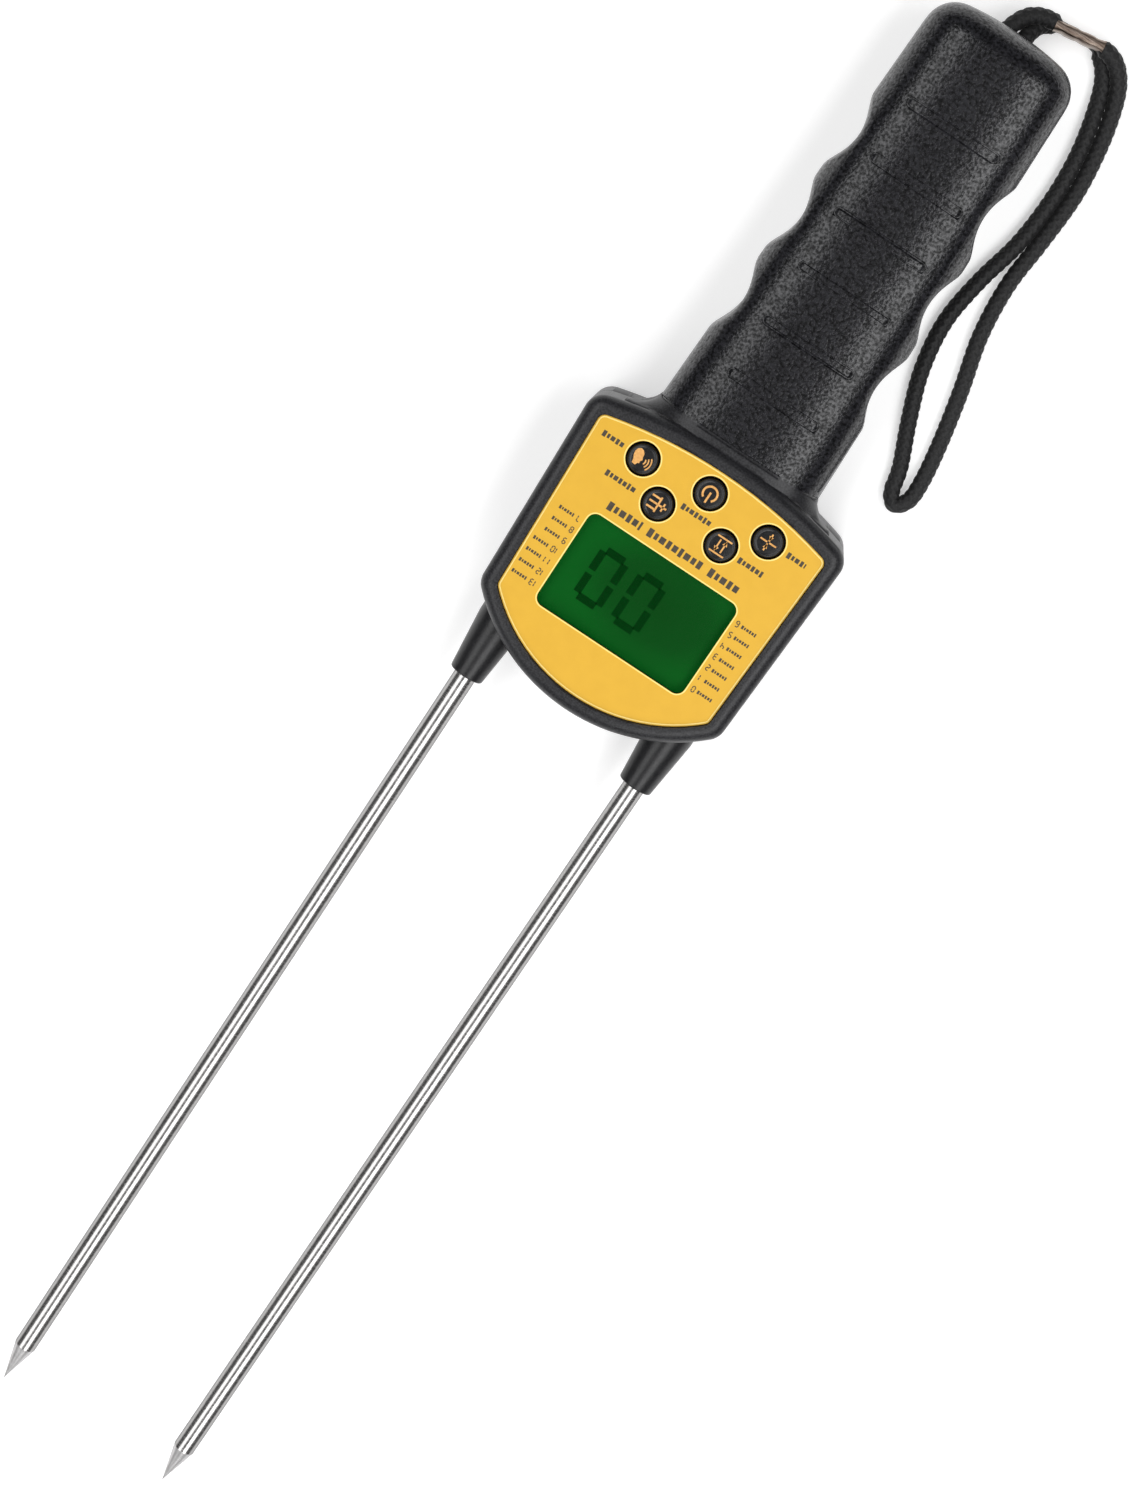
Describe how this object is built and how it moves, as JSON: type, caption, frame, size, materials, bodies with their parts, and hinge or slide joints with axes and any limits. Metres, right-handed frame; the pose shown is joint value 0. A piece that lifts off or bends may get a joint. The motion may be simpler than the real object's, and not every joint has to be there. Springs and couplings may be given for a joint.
{
  "type": "moisture meter",
  "caption": "Hand-held moisture meter with two steel probe rods, a yellow keypad face with a display, a scalloped black handle and a wrist strap.",
  "frame": {"origin": "under the middle of the overall length from rod tips to handle end, on the surface the back rests on; the strap is left out of this middle", "axes": "+Z out of the face, +Y towards the end of the handle, +X to the right seen from the face with the handle up"},
  "size_m": [0.0838, 0.4565, 0.033],
  "materials": {
    "shell_black": "fine spark-textured moulding",
    "collar_black": "satin moulding",
    "overlay_yellow": "satin printed film",
    "window_clear": "clear acrylic",
    "lcd_green": "dark green LCD",
    "diffuser": "milky diffuser",
    "holder_white": "plain moulding",
    "strip_rubber": "soft elastomer",
    "board_green": "solder mask",
    "parts_black": "epoxy packages",
    "key_black": "satin moulding with gold icons",
    "tray_black": "plain moulding",
    "cell_jacket": "plain wrapped cell",
    "spring_steel": "nickel plated",
    "rod_steel": "polished stainless with ground tips",
    "nut_brass": "plain brass",
    "lead_red": "wire sleeve",
    "lead_blue": "wire sleeve",
    "lead_maroon": "wire sleeve",
    "screw_steel": "zinc plated",
    "cord_black": "braided cord",
    "ferrule_metal": "crimped, brownish nickel"
  },
  "bodies": {
    "housing": {"front_shell": "shell_black", "rear_shell": "shell_black", "collar_left": "collar_black", "collar_right": "collar_black", "face_overlay": "overlay_yellow", "display_window": "window_clear", "lcd_glass": "lcd_green", "backlight": "diffuser", "lcd_holder": "holder_white", "connector_strips": "strip_rubber", "main_board": "board_green", "board_parts": "parts_black", "speaker": "parts_black", "battery_tray": "tray_black", "battery_1": "cell_jacket", "battery_2": "cell_jacket", "battery_3": "cell_jacket", "battery_4": "cell_jacket", "battery_springs": "spring_steel", "battery_contacts": "spring_steel", "rod_terminals": "spring_steel", "key_switches": "spring_steel", "rod_left": "rod_steel", "rod_right": "rod_steel", "rod_nuts": "nut_brass", "lead_left": "lead_red", "lead_right": "lead_blue", "battery_leads": "lead_maroon", "case_screws": "screw_steel", "board_screws": "screw_steel", "strap_pin": "screw_steel", "strap_cord": "cord_black", "strap_ferrule": "ferrule_metal"},
    "battery_door": {"battery_door": "shell_black"},
    "key_sound": {"key_sound": "key_black"},
    "key_power": {"key_power": "key_black"},
    "key_target": {"key_target": "key_black"},
    "key_level": {"key_level": "key_black"},
    "key_adjust": {"key_adjust": "key_black"}
  },
  "joints": [
    {"name": "key_sound_press", "type": "slide", "parent": "housing", "child": "key_sound", "axis": [0, 0, -1], "range_m": [0, 0.0008], "stiffness_N_per_m": 400},
    {"name": "key_power_press", "type": "slide", "parent": "housing", "child": "key_power", "axis": [0, 0, -1], "range_m": [0, 0.0008], "stiffness_N_per_m": 400},
    {"name": "key_target_press", "type": "slide", "parent": "housing", "child": "key_target", "axis": [0, 0, -1], "range_m": [0, 0.0008], "stiffness_N_per_m": 400},
    {"name": "key_level_press", "type": "slide", "parent": "housing", "child": "key_level", "axis": [0, 0, -1], "range_m": [0, 0.0008], "stiffness_N_per_m": 400},
    {"name": "key_adjust_press", "type": "slide", "parent": "housing", "child": "key_adjust", "axis": [0, 0, -1], "range_m": [0, 0.0008], "stiffness_N_per_m": 400},
    {"name": "battery_door_slide", "type": "slide", "parent": "housing", "child": "battery_door", "axis": [0, 1, 0], "range_m": [0, 0.006]}
  ]
}
